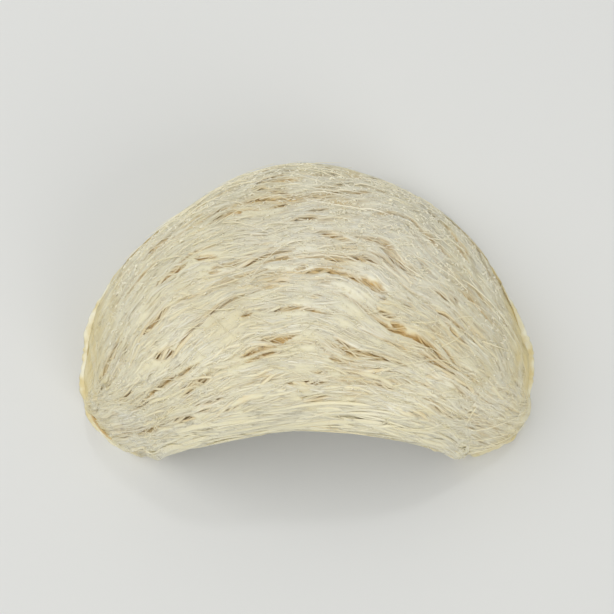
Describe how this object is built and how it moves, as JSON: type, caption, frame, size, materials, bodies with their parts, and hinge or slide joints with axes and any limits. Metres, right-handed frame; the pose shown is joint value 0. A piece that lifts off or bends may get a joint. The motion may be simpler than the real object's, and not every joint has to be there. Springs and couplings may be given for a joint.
{
  "type": "edible swiftlet nest",
  "caption": "Half cup of hardened cream strands, cut flat where it left its wall, lying on the cut with its rim to the front.",
  "frame": {"origin": "centre of the nest's box on the cut wall face that it lies on", "axes": "+X from foot to foot, +Z away from the wall it was cut from, -Y towards the open rim"},
  "size_m": [0.0732, 0.0506, 0.0307],
  "materials": {
    "dried_strands": "dried swiftlet saliva in fused strands, cream, slightly translucent, soft gloss"
  },
  "bodies": {
    "root": {"nest": "dried_strands"}
  },
  "joints": []
}
